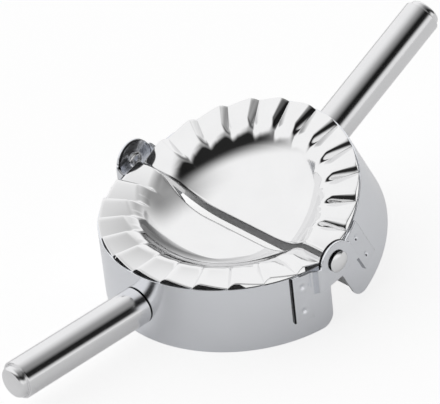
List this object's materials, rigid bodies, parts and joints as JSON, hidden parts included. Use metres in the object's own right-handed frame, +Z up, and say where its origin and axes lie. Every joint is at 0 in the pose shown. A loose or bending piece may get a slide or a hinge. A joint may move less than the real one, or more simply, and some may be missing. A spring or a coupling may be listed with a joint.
{
  "type": "empanada press",
  "caption": "Stainless-steel press for filled pastries: two hinged half-round pleated bowls on cutter skirts, each with a tube handle.",
  "frame": {"origin": "on the table, under the middle of the hinge axis, which is also the middle of the footprint to within a millimetre", "axes": "+X along the hinge axis, +Y along the handles towards the raised half, +Z up"},
  "size_m": [0.1086, 0.211, 0.0649],
  "materials": {
    "polished_stainless": "mirror-polished pressed sheet",
    "satin_stainless": "satin rolled sheet",
    "handle_stainless": "polished tube with fine lengthwise grain",
    "rivet_stainless": "smooth bright",
    "fastener_stainless": "plain bright"
  },
  "bodies": {
    "near_half": {"near_mould_plate": "polished_stainless", "near_skirt": "satin_stainless", "near_handle_tube": "handle_stainless", "near_handle_end_plug": "handle_stainless", "near_handle_boss": "fastener_stainless", "near_handle_screw": "fastener_stainless", "near_handle_spring_washer": "fastener_stainless", "near_hinge_strap_right": "satin_stainless", "near_hinge_strap_left": "satin_stainless", "hinge_rivet_right": "rivet_stainless", "hinge_rivet_left": "rivet_stainless"},
    "far_half": {"far_mould_plate": "polished_stainless", "far_skirt": "satin_stainless", "far_handle_tube": "handle_stainless", "far_handle_end_plug": "handle_stainless", "far_handle_boss": "fastener_stainless", "far_handle_screw": "fastener_stainless", "far_handle_spring_washer": "fastener_stainless", "far_hinge_strap_right": "satin_stainless", "far_hinge_strap_left": "satin_stainless"}
  },
  "joints": [
    {"name": "hinge", "type": "hinge", "parent": "near_half", "child": "far_half", "pos_m": [0, 0, 0.02785], "axis": [1, 0, 0], "range_deg": [-25.44, 154.56]}
  ]
}
